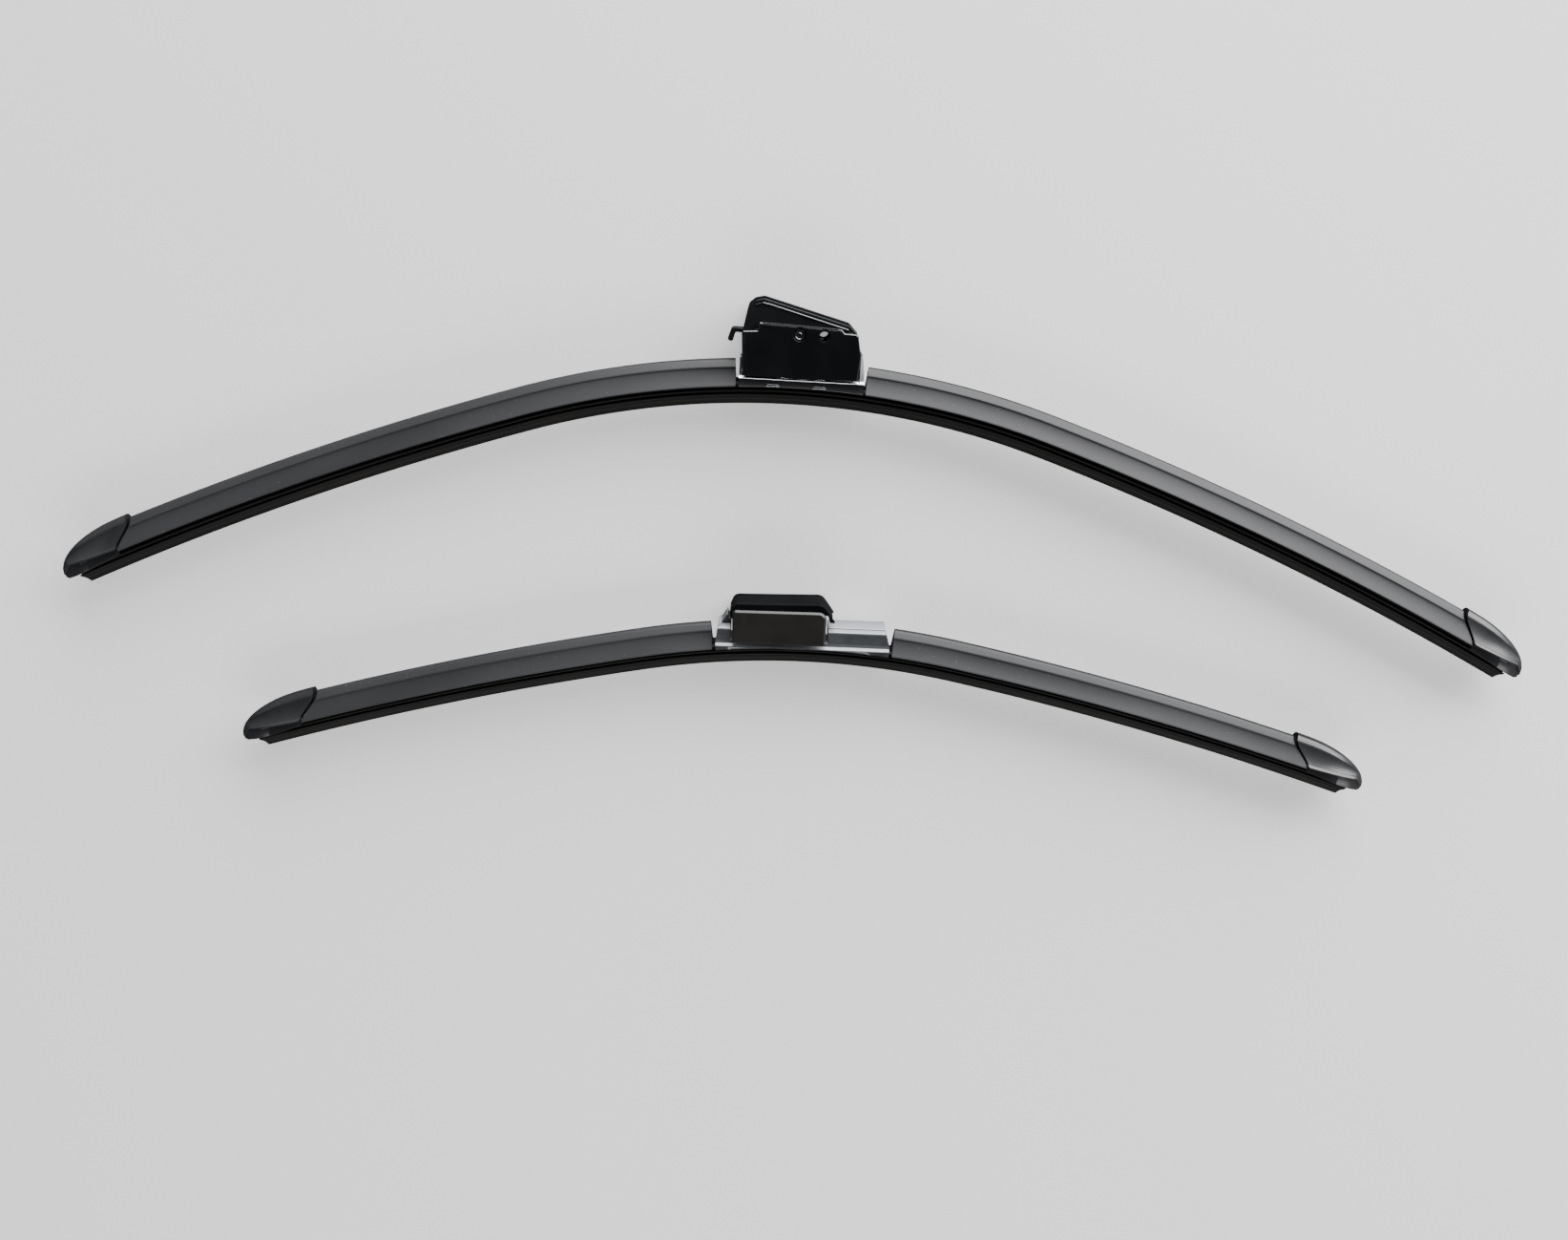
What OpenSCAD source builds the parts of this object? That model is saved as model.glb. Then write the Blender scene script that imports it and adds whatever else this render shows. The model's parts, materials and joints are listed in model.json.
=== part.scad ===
// A matched pair of beam wiper blades, a long one and a short one, lying on their sides.
// Each blade is drawn flat: x runs along it, y from its wiping lip to its spine, z across it.
// The origin is the long connector's pivot axis, on the surface that the pair lies on.

/* [Blade sizes] */
// Long blade: wiping line from its crown to its left tip
long_left = 314; // [280:1:340]
// Long blade: wiping line from its crown to its right tip
long_right = 335; // [280:1:360]
// Short blade: wiping line from its crown to its left tip
short_left = 242; // [210:1:270]
// Short blade: wiping line from its crown to its right tip
short_right = 252; // [210:1:280]
// Long blade: radius of the wiping line near the crown
long_crown_r = 341; // [320:1:400]
// Long blade: radius of the wiping line outside the crown
long_arm_r = 1400; // [1000:10:2000]
// Short blade: radius of the wiping line near the crown
short_crown_r = 345; // [320:1:400]
// Short blade: radius of the wiping line outside the crown
short_arm_r = 1450; // [1000:10:2000]

/* [Cross-section] */
// Height of the spoiler's crest over the wiping lip
crest_h = 18.3; // [17.8:0.1:19]
// Half the width of the spoiler's flared foot
foot_w = 6.8; // [6.6:0.1:7.2]
// Width of one steel spring strip
strip_w = 3.5; // [3:0.1:3.6]
// Thickness of one steel spring strip
strip_t = 0.9; // [0.6:0.1:0.9]

/* [Connectors] */
// Half the width of both connectors across the blade
half_w = 11; // [11:0.1:12]
// Wall of the connectors' side cheeks
cheek_t = 1.8; // [1.4:0.1:1.8]
// Height of both pivot axes over the wiping lip
pivot_h = 17; // [16.8:0.1:17.4]
// Radius of the pivot pins
pivot_r = 2.4; // [2:0.1:2.6]
// Place of the long connector's pivot along its blade
long_pivot = 5; // [4.5:0.1:5.5]
// Place of the short connector's pivot along its blade
short_pivot = -9; // [-9.3:0.1:-8.7]
// Height of the long connector's lid at its peak
lid_peak = 42.6; // [40:0.2:44]
// Height of the short connector's cover
cover_top = 27.6; // [27:0.1:29]
// Radius of the side-pin hole through the long housing
side_hole_r = 2; // [1.6:0.1:2.2]

/* [Layout] */
// Crown of the short blade, along and below the long connector's pivot
short_at = [5.5, -126.5];
// Turn of the short blade against the long one
short_turn = 0.8; // [0:0.1:2]

/* [Hidden] */

// A blade is [crown radius, half length of the crown's arc, radius of its arms, left, right].
LONG = [long_crown_r, 106.7, long_arm_r, long_left, long_right];
SHORT = [short_crown_r, 65.4, short_arm_r, short_left, short_right];

loose = 0.1;              // air between pieces that are clipped together
fit = 0.04;               // radial air of a pin that turns
gap = 0.3;                // air beside a part that moves
strip_in = 1.2;           // inner edge of a spring strip, from the middle plane
strip_out = strip_in + strip_w;
strip_low = 8.3;          // underside of the strips over the lip
strip_top = strip_low + strip_t;
head_w = 2.6;             // half width of the rubber's head
head_top = 10.4;
hook_w = strip_out - 0.5; // the spoiler's foot and the clamps hook under the strips to here
hook_low = 7.4;
cap_len = 36.4;           // end cap along its top
cap_slack = 0.5;          // the caps are straight where a blade bends, so their channels are deeper
cap_rise = 1.2;           // the cap stands this far over the spoiler's crest
rubber_back = 8;          // the rubber ends this far inside the cap's tip
strip_back = 10;          // and the strips this far
cheek_in = half_w - cheek_t;
inside_w = cheek_in - gap;
ear_in = 5.4;             // the carriers' pivot ears across the blade
ear_out = 6.9;
ear_r = 4.5;
bush_r = pivot_r + 1;
pin_blind = cheek_in + 1; // cross pins end in blind holes in the cheeks
turn_fine = 720;          // steps of a full turn on the long bends
arm_step = 26;            // spacing of the rings along the arms
ring_free = 3;            // a piece has no ring nearer than this to the cut at its end
round_fine = 64;
far = 60;                 // longer than any connector feature

long_seam = [-22, 30.2];  // inner ends of the long spoilers, along the blade
long_foot = [-20.6, 29.9];
lid_hinge = [23.2, 28.6];
latch_hinge = [-9, 28.6];
cross_at = [2.9, 29.3];
side_hole_at = [12.8, 29.1];
latch_w = 4;
short_seam = [-36, 38.4];
short_foot = [-35.4, 37.8];
short_pocket = [-29.3, 11.9];
base_top = 17.5;
cover_hinge = [-26.2, 22.9];
cover_slot_w = 5;
skirt_low = 22.8;         // lower edge of the cover's skirts, over the bushes' bosses

// ---- Helpers ----

function unit(v) = v / norm(v);

// Points of the arc that rounds corner p, between its neighbours a and b; p[2] is its radius.
function corner(a, p, b) =
    let (at = [p[0], p[1]], da = unit([a[0], a[1]] - at), db = unit([b[0], b[1]] - at))
    let (half = acos(da * db) / 2, r = p[2])
    r == 0 ? [at] :
    let (c = at + unit(da + db) * r / sin(half), pa = at + da * r / tan(half) - c)
    let (pb = at + db * r / tan(half) - c, a0 = atan2(pa[1], pa[0]))
    let (sweep = (atan2(pb[1], pb[0]) - a0 + 540) % 360 - 180, n = 6)
    [for (i = [0:n]) c + r * [cos(a0 + sweep * i / n), sin(a0 + sweep * i / n)]];

function rounded(pts) =
    [for (i = [0:len(pts) - 1])
        each corner(pts[(i + len(pts) - 1) % len(pts)], pts[i], pts[(i + 1) % len(pts)])];

// A section given for one side of the middle plane, closed with its mirror image.
function both_sides(half) =
    concat(half, [for (i = [len(half) - 1:-1:0]) [half[i][0], -half[i][1]]]);

module on_long() translate([-long_pivot, -pivot_h, half_w]) children();
module on_short() translate([short_at[0], short_at[1], half_w]) rotate(short_turn) children();

// A flat outline made into a plate between two heights, and the same on both sides.
module plate(z0, z1) translate([0, 0, z0]) linear_extrude(z1 - z0) children();
module pair_of_plates(z0, z1) {
    plate(z0, z1) children();
    plate(-z1, -z0) children();
}
module block(u, v, w) translate([u[0], v[0], -w]) cube([u[1] - u[0], v[1] - v[0], 2 * w]);

// A pin or a hole along z at a place on the blade, through the whole width.
module across(at, r, w) translate([at[0], at[1], -w]) cylinder(r = r, h = 2 * w, $fn = round_fine);

// Turns a section (x over the lip, y across) about the centre of a blade's crown, for short runs
// that stay inside the crown.
module bent(blade, s0, s1) {
    per_mm = 180 / PI / blade[0];
    translate([0, -blade[0], 0])
        rotate([0, 0, 90 - s1 * per_mm])
            rotate_extrude(angle = (s1 - s0) * per_mm, $fn = turn_fine)
                translate([blade[0], 0]) children();
}

// The point at a height over the wiping line, s along it from the crown. Past the crown the line
// runs on in a wider arc that leaves it without a kink.
function on_line(blade, s, h) =
    s < 0 ? let (p = on_line(blade, -s, h)) [-p[0], p[1]] :
    s <= blade[1] ? let (a = s / blade[0] * 180 / PI)
        (blade[0] + h) * [sin(a), cos(a)] - [0, blade[0]] :
    let (turn = blade[1] / blade[0] * 180 / PI, a = turn + (s - blade[1]) / blade[2] * 180 / PI)
    (blade[0] - blade[2]) * [sin(turn), cos(turn)] - [0, blade[0]] + (blade[2] + h) * [sin(a), cos(a)];

// Where a long piece gets a ring: close together in the crown, further apart in the arms.
// free0 and free1 are the lengths at its two ends that get none.
function rings(blade, s0, s1, free0, free1) =
    let (crown = [for (i = [-10:10]) blade[1] * i / 10], arm = [for (i = [1:12]) blade[1] + i * arm_step])
    let (all = concat([for (i = [11:-1:0]) -arm[i]], crown, arm))
    concat([s0], [for (s = all) if (s > s0 + free0 && s < s1 - free1) s], [s1]);

function turn_of(a, b, c) = (b[0] - a[0]) * (c[1] - a[1]) - (b[1] - a[1]) * (c[0] - a[0]);
function is_ear(pts, left, i) =
    let (n = len(left), a = left[(i + n - 1) % n], b = left[i], c = left[(i + 1) % n])
    turn_of(pts[a], pts[b], pts[c]) > 0 &&
    len([for (k = left) if (k != a && k != b && k != c &&
        turn_of(pts[a], pts[b], pts[k]) >= 0 && turn_of(pts[b], pts[c], pts[k]) >= 0 &&
        turn_of(pts[c], pts[a], pts[k]) >= 0) k]) == 0;

// Cuts an outline, given counter-clockwise, into triangles of point numbers, one ear at a time.
function triangles(pts, left) =
    len(left) == 3 ? [left] :
    let (n = len(left), i = [for (k = [0:n - 1]) if (is_ear(pts, left, k)) k][0])
    concat([[left[(i + n - 1) % n], left[i], left[(i + 1) % n]]],
        triangles(pts, [for (k = [0:n - 1]) if (k != i) left[k]]));

// Carries a section along a blade from s0 to s1. trim0 and trim1 are tables of height and
// shortening, for ends that aren't square.
module sweep(blade, section, s0, s1, trim0 = [[0, 0], [1, 0]], trim1 = [[0, 0], [1, 0]]) {
    free0 = ring_free + max([for (t = trim0) t[1]]);
    free1 = ring_free + max([for (t = trim1) t[1]]);
    stops = rings(blade, s0, s1, free0, free1);
    n = len(section);
    last = len(stops) - 1;
    points = [for (k = [0:last]) for (p = section)
        let (trim = k == 0 ? lookup(p[0], trim0) : k == last ? -lookup(p[0], trim1) : 0)
        let (at = on_line(blade, stops[k] + trim, p[0])) [at[0], at[1], p[1]]];
    ends = triangles(section, [for (i = [0:n - 1]) i]);
    faces = concat(
        [for (t = ends) [t[0], t[1], t[2]]],
        [for (t = ends) [t[2] + last * n, t[1] + last * n, t[0] + last * n]],
        [for (k = [0:last - 1]) for (i = [0:n - 1]) let (j = (i + 1) % n)
            each [[k * n + i, (k + 1) * n + i, (k + 1) * n + j], [k * n + i, (k + 1) * n + j, k * n + j]]]
    );
    polyhedron(points, faces);
}

// Puts a piece drawn along +x with its tip at x = 0 at a blade's right or left tip.
module at_tip(blade, side) {
    half = blade[1];
    turn = half / blade[0] * 180 / PI;
    lean = turn + ((side > 0 ? blade[4] : blade[3]) - half) / blade[2] * 180 / PI;
    arm = (blade[0] - blade[2]) * [sin(turn), cos(turn)] - [0, blade[0]];
    tip = arm + blade[2] * [sin(lean), cos(lean)];
    mirror([side > 0 ? 0 : 1, 0, 0]) translate([tip[0], tip[1], 0]) rotate(-lean) children();
}

// ---- Cross-sections: x is the height over the lip, y is across the blade ----

ridge_h = crest_h - 3.4;  // lower edge of the spoiler's sloping crown
waist_h = ridge_h - 0.3;
foot_h = 7.8;
spoiler_outside = concat(
    [[crest_h, 0.8], [crest_h - 0.3, 1.4], [ridge_h, 3.6]],
    [for (i = [0:8]) let (t = i / 8)
        [waist_h - (waist_h - foot_h) * t, 3.3 + (foot_w - 3.3) * pow(t, 1.5)]],
    [[hook_low, foot_w - 0.3]]
);
strip_channel = [
    [hook_low, hook_w], [strip_low - loose, hook_w], [strip_low - loose, strip_out + loose],
    [strip_top + loose, strip_out + loose], [strip_top + loose, head_w + loose],
    [head_top + 2 * loose, head_w + loose]
];
rubber_half = [
    [0, 0.35], [1.6, 0.45], [2.7, 1.3], [3.3, 2.2], [3.7, 2.5], [4.3, 2.5], [4.2, 0.55],
    [5, 0.55], [4.9, 2.3], [5.4, 2.9], [5.9, 2.9], [6.2, 2.2], [6.7, 2.2], [6.9, head_w],
    [strip_low - loose, head_w], [strip_low - loose, strip_in - loose],
    [strip_top + loose, strip_in - loose], [strip_top + loose, head_w],
    [head_top - 0.3, head_w], [head_top, head_w - 0.4]
];

function reversed(list) = [for (i = [len(list) - 1:-1:0]) list[i]];
spoiler_section = both_sides(concat(spoiler_outside, strip_channel));
rubber_section = reversed(both_sides(rubber_half));
strip_upper = [[strip_low, strip_in], [strip_top, strip_in], [strip_top, strip_out],
    [strip_low, strip_out]];
strip_lower = reversed([for (p = strip_upper) [p[0], -p[1]]]);

// What a clamp leaves free for the strips, the rubber's head and all below them.
module clamp_hollow(low) polygon(both_sides(concat([[-4, far], [low, far], [low, hook_w]],
    [for (i = [1:5]) strip_channel[i]])));

// ---- Pieces that both blades have ----

// Side outline of an end cap. Its inner edge is the slanted seam with the spoiler.
cap_top = crest_h + cap_rise;
cap_seam = [[-26.8, 5.6], [-27.2, 7.6], [-cap_len, 17.4]];
cap_dome = [for (i = [0:14]) let (a = 90 * (1 - i / 14))
    [-30 + 30 * cos(a), 7 + (cap_top - 7) * sin(a)]];
cap_outline = concat(cap_seam, [[-cap_len, cap_top - 0.4], [-cap_len + 0.8, cap_top]],
    cap_dome, [[-0.4, 5.4], [-1.6, 4.5], [-6, 4.4], [-7.4, 5.4]]);

// Shortening of the spoiler along the cap's seam, and of the rubber's slanted ends, by height.
seam_gap = 0.25;
// The seam's slant runs on past the crest, so a spoiler's cut end is one flat face.
seam_trim = concat([for (p = cap_seam) [p[1], seam_gap - p[0]]],
    [[19, seam_gap + cap_len + 1.5]]);
rubber_trim = [[0, rubber_back + 1], [4, rubber_back - 1.4], [5, rubber_back - 1.4]];
square_end = [[0, 0], [1, 0]];

module spoiler(blade, side) {
    seam = blade == LONG ? long_seam : short_seam;
    if (side > 0)
        sweep(blade, spoiler_section, seam[1], blade[4], square_end, seam_trim);
    else
        sweep(blade, spoiler_section, -blade[3], seam[0], seam_trim, square_end);
}

module wiping_rubber(blade)
    sweep(blade, rubber_section, -blade[3], blade[4], rubber_trim, rubber_trim);

module strip(blade, side)
    sweep(blade, side > 0 ? strip_upper : strip_lower, -blade[3] + strip_back, blade[4] - strip_back);

module end_cap(blade, side) {
    at_tip(blade, side)
        difference() {
            intersection() {
                plate(-8, 8) polygon(cap_outline);
                rotate([90, 0, 90]) plate_from(-cap_len - 1, 1) cap_section();
                rotate([90, 0, 0]) plate_from(-far, 0) cap_plan();
            }
            rotate([90, 0, 90]) plate_from(-far, -strip_back + 1)
                polygon(both_sides(concat(
                    [for (v = [-4, strip_low - cap_slack]) [v, head_w + loose]],
                    [[strip_low - cap_slack, strip_out + loose]],
                    [for (i = [3:5]) strip_channel[i]])));
            rotate([90, 0, 90]) plate_from(-far, -rubber_back + 3)
                polygon(both_sides([[-4, 3.1], [6.8, 3.1], [6.8, head_w + loose],
                    [head_top + 0.2, head_w + loose]]));
        }
}
module plate_from(z0, z1) translate([0, 0, z0]) linear_extrude(z1 - z0) children();
module cap_section() polygon(both_sides([[crest_h + cap_rise, 1.6], [crest_h + 0.2, 2.8],
    [ridge_h, 4.6], [13, 5.1], [10, 6.4], [8.4, foot_w + 0.6], [6.9, foot_w + 0.6], [5.6, 5.6],
    [4, 4.4]]));
module cap_plan() polygon(both_sides(concat([[-far, foot_w + 0.6]],
    [for (i = [0:10]) let (a = 90 - i * 8)
        [-20 + 20.2 * cos(a), (foot_w + 0.6) * sin(a)]])));

// Two upright ears that hold a pivot pin over a carrier.
module pivot_ears(u, low) {
    difference() {
        pair_of_plates(ear_in, ear_out)
            union() {
                translate([u, pivot_h]) circle(r = ear_r, $fn = round_fine);
                translate([u - ear_r, low]) square([2 * ear_r, pivot_h - low]);
            }
        across([u, pivot_h], pivot_r, far);
    }
}
module pivot_pin(u) across([u, pivot_h], pivot_r, cheek_in - fit);
module pivot_bushes(u) {
    difference() {
        for (side = [0, 1])
            mirror([0, 0, side])
                translate([u, pivot_h, ear_out + gap])
                    cylinder(r = bush_r, h = cheek_in - ear_out - gap, $fn = round_fine);
        across([u, pivot_h], pivot_r + fit, far);
    }
}
// Bosses on a housing's cheeks, which hold the bushes.
module bush_bosses(u) {
    difference() {
        for (side = [0, 1])
            mirror([0, 0, side])
                translate([u, pivot_h, ear_out + gap])
                    cylinder(r = bush_r + 1.4, h = cheek_in + 0.2 - ear_out - gap, $fn = round_fine);
        across([u, pivot_h], bush_r, cheek_in);
    }
}

// ---- Long blade ----

module long_spoiler_left() color("dimgray") on_long() spoiler(LONG, -1);
module long_spoiler_right() color("dimgray") on_long() spoiler(LONG, 1);
module long_wiping_rubber() color("#1c1a19") on_long() wiping_rubber(LONG);
module long_strip_upper() color("silver") on_long() strip(LONG, 1);
module long_strip_lower() color("silver") on_long() strip(LONG, -1);
module long_end_cap_left() color("#24272a") on_long() end_cap(LONG, -1);
module long_end_cap_right() color("#24272a") on_long() end_cap(LONG, 1);
module long_pivot_pin() color("silver") on_long() pivot_pin(long_pivot);
module long_pivot_bushes() color("ivory") on_long() pivot_bushes(long_pivot);

module long_carrier() {
    color("gainsboro") on_long() {
        union() {
            difference() {
                union() {
                    block(long_foot, [3, 11.7], 6.4);
                    block(long_foot, [10.5, 11.7], 8.6);
                }
                bent(LONG, long_foot[0] - 2, long_foot[1] + 2) clamp_hollow(hook_low);
            }
            pivot_ears(long_pivot, 11.5);
            block([long_foot[0], long_foot[0] + 0.9], [11.5, 19], 6);
            plate(-8.3, 8.3)
                polygon([[28.8, 11.5], [29.9, 11.5], [29.7, 16], [28.6, 22.2], [27.9, 22.2],
                    [28.8, 16]]);
        }
    }
}

module long_housing() {
    wall = rounded([[-19.2, 11.9, 1], [28.8, 11.9, 1], [28.2, 22, 8], [26.2, 30.6, 1.5],
        [20.8, 30.8, 0], [19.5, 32.3, 0.6], [-13.3, 33.4, 0.6], [-13.9, 30.1, 0],
        [-20.3, 29.6, 0.8]]);
    color("black") on_long() {
        difference() {
            union() {
                pair_of_plates(cheek_in, half_w) polygon(wall);
                block([-18.5, -4.2], [15.6, 17], cheek_in + 0.2);
                block([14.2, 26], [15.6, 17], cheek_in + 0.2);
                block([24.6, 26], [15.6, 21], cheek_in + 0.2);
                bush_bosses(long_pivot);
            }
            across(side_hole_at, side_hole_r, far);
            across(cross_at, 1.6, far);
            across(lid_hinge, 1.25, pin_blind);
            across(latch_hinge, 1, pin_blind);
            for (side = [0, 1])
                mirror([0, 0, side])
                    translate([cross_at[0], cross_at[1], half_w - 0.5])
                        cylinder(r = 2.5, h = 1, $fn = round_fine);
        }
    }
}

module long_cross_pin() {
    color("dimgray") on_long() {
        across(cross_at, 1.6, half_w - 0.3);
        for (side = [0, 1])
            mirror([0, 0, side])
                translate([cross_at[0], cross_at[1], half_w - 0.5])
                    cylinder(r = 2.3, h = 0.4, $fn = round_fine);
    }
}

module long_lid() {
    outside = rounded([[-20.1, 29.2, 0.5], [-17.4, 38.6, 4], [-11.8, lid_peak, 2.4],
        [23, 33.6, 3], [26.6, 29.8, 1.5], [26.9, 26.4, 0.4], [20.6, 26.4, 0], [19.3, 31.4, 0],
        [-15, 31.4, 0], [-15.6, 29.2, 0]]);
    inside = [[-18.3, 26], [-16.1, 37.9], [-11.8, lid_peak - 1.6], [22.6, 32.2], [25.4, 29.2],
        [25.4, 22]];
    color("black") on_long() {
        difference() {
            union() {
                difference() {
                    plate(-inside_w, inside_w) polygon(outside);
                    plate(1.4 - inside_w, inside_w - 1.4) polygon(inside);
                }
                for (side = [0, 1])
                    mirror([0, 0, side])
                        translate([lid_hinge[0], lid_hinge[1], 5])
                            cylinder(r = 2.4, h = inside_w - 5.2, $fn = round_fine);
            }
            across(lid_hinge, 1.25 + fit, far);
            block([-24, -14], [28, 31], latch_w + 0.5);
        }
    }
}
module long_lid_pin() color("dimgray") on_long() across(lid_hinge, 1.25, pin_blind - 0.1);

module long_latch() {
    color("black") on_long() {
        difference() {
            union() {
                across(latch_hinge, 1.9, latch_w);
                plate(-latch_w, latch_w)
                    polygon(rounded([[-9, 28, 0], [-9, 29.4, 0], [-24.6, 30, 1.6],
                        [-25.9, 24.8, 0.3], [-24.8, 24.5, 0.3], [-23.6, 28.6, 0.6]]));
            }
            across(latch_hinge, 1 + fit, far);
        }
    }
}
module long_latch_pin() color("dimgray") on_long() across(latch_hinge, 1, pin_blind - 0.1);

// ---- Short blade ----

module short_spoiler_left() color("dimgray") on_short() spoiler(SHORT, -1);
module short_spoiler_right() color("dimgray") on_short() spoiler(SHORT, 1);
module short_wiping_rubber() color("#1c1a19") on_short() wiping_rubber(SHORT);
module short_strip_upper() color("silver") on_short() strip(SHORT, 1);
module short_strip_lower() color("silver") on_short() strip(SHORT, -1);
module short_end_cap_left() color("#24272a") on_short() end_cap(SHORT, -1);
module short_end_cap_right() color("#24272a") on_short() end_cap(SHORT, 1);
module short_pivot_pin() color("silver") on_short() pivot_pin(short_pivot);
module short_pivot_bushes() color("ivory") on_short() pivot_bushes(short_pivot);

module short_base() {
    side = rounded([[-35.4, 3, 0], [short_foot[1], 3, 0], [short_foot[1], 10.2, 0],
        [36, base_top, 0.6], [-34.2, base_top, 0.6], [-35.4, 10.2, 0]]);
    // Ramp that carries the cover's slope on down to the ledge, clear of the cover's swing.
    ramp = [[-33.4, base_top - 0.2], [-31, 21.1], [-30.8, 21.1], [-30.5, 20], [-29.9, 19],
        [-29.5, 18.6], [-29.5, base_top - 0.2]];
    color("slategray") on_short() {
        union() {
            difference() {
                union() {
                    plate(-6, 6) polygon(ramp);
                    intersection() {
                        plate(-8.2, 8.2) polygon(side);
                        rotate([90, 0, 90]) plate_from(-far, far)
                            polygon(both_sides([[base_top, 5.6], [base_top - 0.5, 6.1],
                                [base_top - 1, 6.1], [base_top - 2.4, 8.2], [2, 8.2]]));
                    }
                    block(short_foot, [3, 10.2], 8.7);
                }
                block(short_pocket, [10.6, 30], far);
                bent(SHORT, short_foot[0] - 3, short_foot[1] + 3) clamp_hollow(hook_low - 0.3);
            }
            pivot_ears(short_pivot, 10.4);
        }
    }
}

module short_housing() {
    wall = rounded([[-28.4, 9.9, 0.8], [10.6, 9.9, 0.8], [10.9, 24.6, 3.4], [-28.7, 24.2, 1.4]]);
    color("darkslategray") on_short() {
        difference() {
            union() {
                pair_of_plates(cheek_in, half_w) polygon(wall);
                block([-20, -15], [15.2, 16.8], cheek_in + 0.2);
                block([-1, 9], [15.2, 16.8], cheek_in + 0.2);
                bush_bosses(short_pivot);
            }
            across(cover_hinge, 1.25, pin_blind);
        }
    }
}

module short_cover() {
    outside = rounded([[-28.9, 20.1, 0.3], [-30, 22.2, 0.8], [-28.3, cover_top - 1, 3],
        [9.2, cover_top, 4], [14.8, 19.8, 0.4], [12.4, 19.8, 0], [11.4, skirt_low, 0],
        [-23.4, skirt_low, 0], [-24.4, 20.1, 0]]);
    inside = rounded([[-28.4, 18, 0], [-28.4, 22.2, 0], [-27, cover_top - 2.6, 2],
        [8.4, cover_top - 1.6, 2.4], [13, 20, 0], [13, 18, 0]]);
    color("black") on_short() {
        difference() {
            union() {
                difference() {
                    plate(-inside_w, inside_w) polygon(outside);
                    plate(1.4 - inside_w, inside_w - 1.4) polygon(inside);
                }
                for (side = [0, 1])
                    mirror([0, 0, side])
                        translate([cover_hinge[0], cover_hinge[1], 5])
                            cylinder(r = 2.3, h = inside_w - 5.2, $fn = round_fine);
            }
            across(cover_hinge, 1.25 + fit, far);
            block([9, 20], [18, cover_top - 2], cover_slot_w);
        }
    }
}
module short_cover_pin() color("dimgray") on_short() across(cover_hinge, 1.25, pin_blind - 0.1);

long_spoiler_left();
long_spoiler_right();
long_wiping_rubber();
long_strip_upper();
long_strip_lower();
long_end_cap_left();
long_end_cap_right();
long_carrier();
long_pivot_pin();
long_pivot_bushes();
long_housing();
long_cross_pin();
long_lid();
long_lid_pin();
long_latch();
long_latch_pin();
short_spoiler_left();
short_spoiler_right();
short_wiping_rubber();
short_strip_upper();
short_strip_lower();
short_end_cap_left();
short_end_cap_right();
short_base();
short_pivot_pin();
short_pivot_bushes();
short_housing();
short_cover();
short_cover_pin();
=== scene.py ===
import json
from math import atan2, cos, pi, radians, sin, sqrt

import bmesh
import bpy
from mathutils import Matrix, Vector


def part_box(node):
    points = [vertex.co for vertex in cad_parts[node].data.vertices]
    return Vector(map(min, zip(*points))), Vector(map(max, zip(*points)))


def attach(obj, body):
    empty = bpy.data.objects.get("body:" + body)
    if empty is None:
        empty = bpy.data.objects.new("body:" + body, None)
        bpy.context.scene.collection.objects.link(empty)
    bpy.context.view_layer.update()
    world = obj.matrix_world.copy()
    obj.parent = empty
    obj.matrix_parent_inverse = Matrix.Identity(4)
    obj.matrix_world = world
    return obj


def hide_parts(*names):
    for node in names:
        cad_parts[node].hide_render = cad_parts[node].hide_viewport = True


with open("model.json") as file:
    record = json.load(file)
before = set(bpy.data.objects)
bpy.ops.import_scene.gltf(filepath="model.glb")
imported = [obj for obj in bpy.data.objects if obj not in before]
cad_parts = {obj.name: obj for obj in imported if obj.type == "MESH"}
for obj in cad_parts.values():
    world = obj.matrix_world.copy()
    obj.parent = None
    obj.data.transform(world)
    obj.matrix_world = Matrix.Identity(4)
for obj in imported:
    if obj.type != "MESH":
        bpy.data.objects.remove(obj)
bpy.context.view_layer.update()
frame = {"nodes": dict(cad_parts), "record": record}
MM = 0.001


# ---- Shader building ----

class Value:
    """One output of a shader node. Arithmetic on it adds Math nodes."""

    def __init__(self, tree, socket):
        self.tree = tree
        self.socket = socket

    def math(self, operation, *values):
        node = self.tree.nodes.new("ShaderNodeMath")
        node.operation = operation
        for slot, value in zip(node.inputs, values):
            plug(self.tree, slot, value)
        return Value(self.tree, node.outputs[0])

    def __add__(self, other): return self.math("ADD", self, other)
    def __sub__(self, other): return self.math("SUBTRACT", self, other)
    def __mul__(self, other): return self.math("MULTIPLY", self, other)
    def __truediv__(self, other): return self.math("DIVIDE", self, other)
    def __pow__(self, other): return self.math("POWER", self, other)
    def __radd__(self, other): return self.math("ADD", other, self)
    def __rsub__(self, other): return self.math("SUBTRACT", other, self)
    def __rmul__(self, other): return self.math("MULTIPLY", other, self)
    def __rtruediv__(self, other): return self.math("DIVIDE", other, self)

    def ramp(self, low, high, a=0.0, b=1.0):
        """a below low, b above high, and a soft passage between them."""
        node = self.tree.nodes.new("ShaderNodeMapRange")
        node.interpolation_type = "SMOOTHSTEP"
        for slot, value in zip(node.inputs, (self, low, high, a, b)):
            plug(self.tree, slot, value)
        return Value(self.tree, node.outputs[0])


def plug(tree, slot, value):
    """Links a Value to an input, or writes a plain value on it."""
    if isinstance(value, Value):
        tree.links.new(value.socket, slot)
    elif isinstance(value, tuple) and len(value) == 3 and slot.type == "RGBA":
        slot.default_value = (*value, 1.0)
    else:
        slot.default_value = value


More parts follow.
